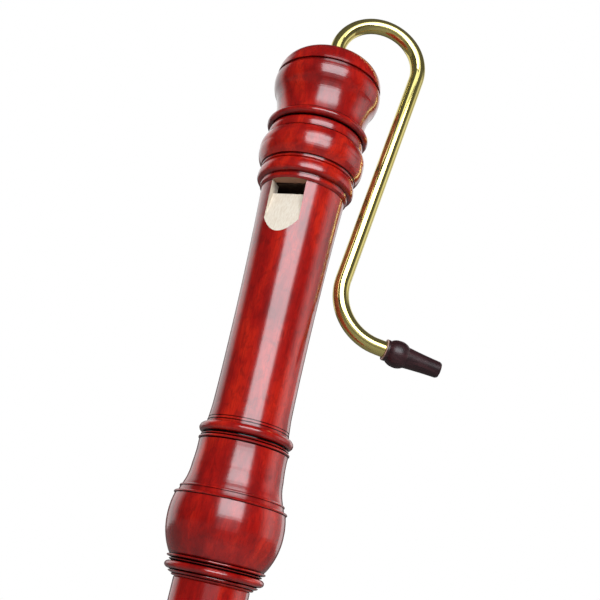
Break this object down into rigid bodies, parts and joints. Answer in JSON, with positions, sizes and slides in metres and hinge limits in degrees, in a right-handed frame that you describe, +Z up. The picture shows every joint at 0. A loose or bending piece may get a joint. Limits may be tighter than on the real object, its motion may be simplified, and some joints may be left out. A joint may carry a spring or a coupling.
{
  "type": "bass recorder",
  "caption": "Bass recorder: turned red-stained wooden body with a capped head, a bent brass crook with a wooden mouthpiece, finger holes and hinged brass keys.",
  "frame": {"origin": "centre of the flat lower end of the foot joint, at the mouth of its bore", "axes": "+Z up the axis towards the cap; -Y is the front, with the window and the finger holes; +Y is the side of the thumb hole, towards the player"},
  "size_m": [0.1134, 0.0846, 0.9942],
  "materials": {
    "stained_wood": "high gloss lacquer over red stain",
    "cedar": "bare",
    "rosewood": "oiled",
    "brass": "polished",
    "cork": "bare cork",
    "steel": "satin",
    "leather": "matt kid"
  },
  "bodies": {
    "middle": {"middle_joint": "stained_wood", "upper_tenon_cork": "cork", "lower_tenon_cork": "cork", "thumb_rest": "brass", "thumb_rest_screws": "brass", "sling_eye": "brass", "sling_eye_screws": "brass", "hole3_saddle": "brass", "hole3_saddle_screws": "brass", "hole3_pivot": "steel", "hole6_saddle": "brass", "hole6_saddle_screws": "brass", "hole6_pivot": "steel"},
    "head": {"head_joint": "stained_wood", "block": "cedar", "head_tenon_cork": "cork"},
    "cap": {"cap": "stained_wood"},
    "crook": {"crook": "brass", "crook_cork": "cork", "crook_tip_cork": "cork"},
    "mouthpiece": {"mouthpiece": "rosewood"},
    "foot": {"foot_joint": "stained_wood", "foot_sharp_saddle": "brass", "foot_sharp_saddle_screws": "brass", "foot_sharp_pivot": "steel", "foot_low_saddle": "brass", "foot_low_saddle_screws": "brass", "foot_low_pivot": "steel"},
    "hole3_key": {"hole3_lever": "brass", "hole3_pad": "leather", "hole3_spring": "steel"},
    "hole6_key": {"hole6_lever": "brass", "hole6_pad": "leather", "hole6_spring": "steel"},
    "foot_sharp_key": {"foot_sharp_lever": "brass", "foot_sharp_pad": "leather", "foot_sharp_spring": "steel"},
    "foot_low_key": {"foot_low_lever": "brass", "foot_low_pad": "leather", "foot_low_spring": "steel"}
  },
  "joints": [
    {"name": "head_pull", "type": "slide", "parent": "middle", "child": "head", "axis": [0, 0, 1], "range_m": [0, 0.04]},
    {"name": "cap_pull", "type": "slide", "parent": "head", "child": "cap", "axis": [0, 0, 1], "range_m": [0, 0.048]},
    {"name": "crook_swivel", "type": "hinge", "parent": "cap", "child": "crook", "pos_m": [0, 0, 0.9558], "axis": [0, 0, 1], "continuous": true},
    {"name": "mouthpiece_pull", "type": "slide", "parent": "crook", "child": "mouthpiece", "axis": [0.8434, 0.527, -0.1045], "range_m": [0, 0.014]},
    {"name": "foot_turn", "type": "hinge", "parent": "middle", "child": "foot", "pos_m": [0, 0, 0.205], "axis": [0, 0, 1], "range_deg": [-35, 35]},
    {"name": "hole3_press", "type": "hinge", "parent": "middle", "child": "hole3_key", "pos_m": [0, -0.02501, 0.468], "axis": [1, 0, 0], "range_deg": [0, 3.18], "stiffness_Nm_per_rad": 0.15, "springref_deg": -8.59, "deforming": ["hole3_spring"]},
    {"name": "hole6_press", "type": "hinge", "parent": "middle", "child": "hole6_key", "pos_m": [0, -0.0247, 0.267], "axis": [1, 0, 0], "range_deg": [0, 4.2], "stiffness_Nm_per_rad": 0.15, "springref_deg": -8.59, "deforming": ["hole6_spring"]},
    {"name": "foot_sharp_press", "type": "hinge", "parent": "foot", "child": "foot_sharp_key", "pos_m": [-0.01848, -0.01913, 0.14], "axis": [0.7193, -0.6947, 0], "range_deg": [0, 4.1], "stiffness_Nm_per_rad": 0.15, "springref_deg": -8.59, "deforming": ["foot_sharp_spring"]},
    {"name": "foot_low_press", "type": "hinge", "parent": "foot", "child": "foot_low_key", "pos_m": [-0.00186, -0.02654, 0.14], "axis": [0.9976, -0.0698, 0], "range_deg": [0, 2.69], "stiffness_Nm_per_rad": 0.15, "springref_deg": -8.59, "deforming": ["foot_low_spring"]}
  ]
}
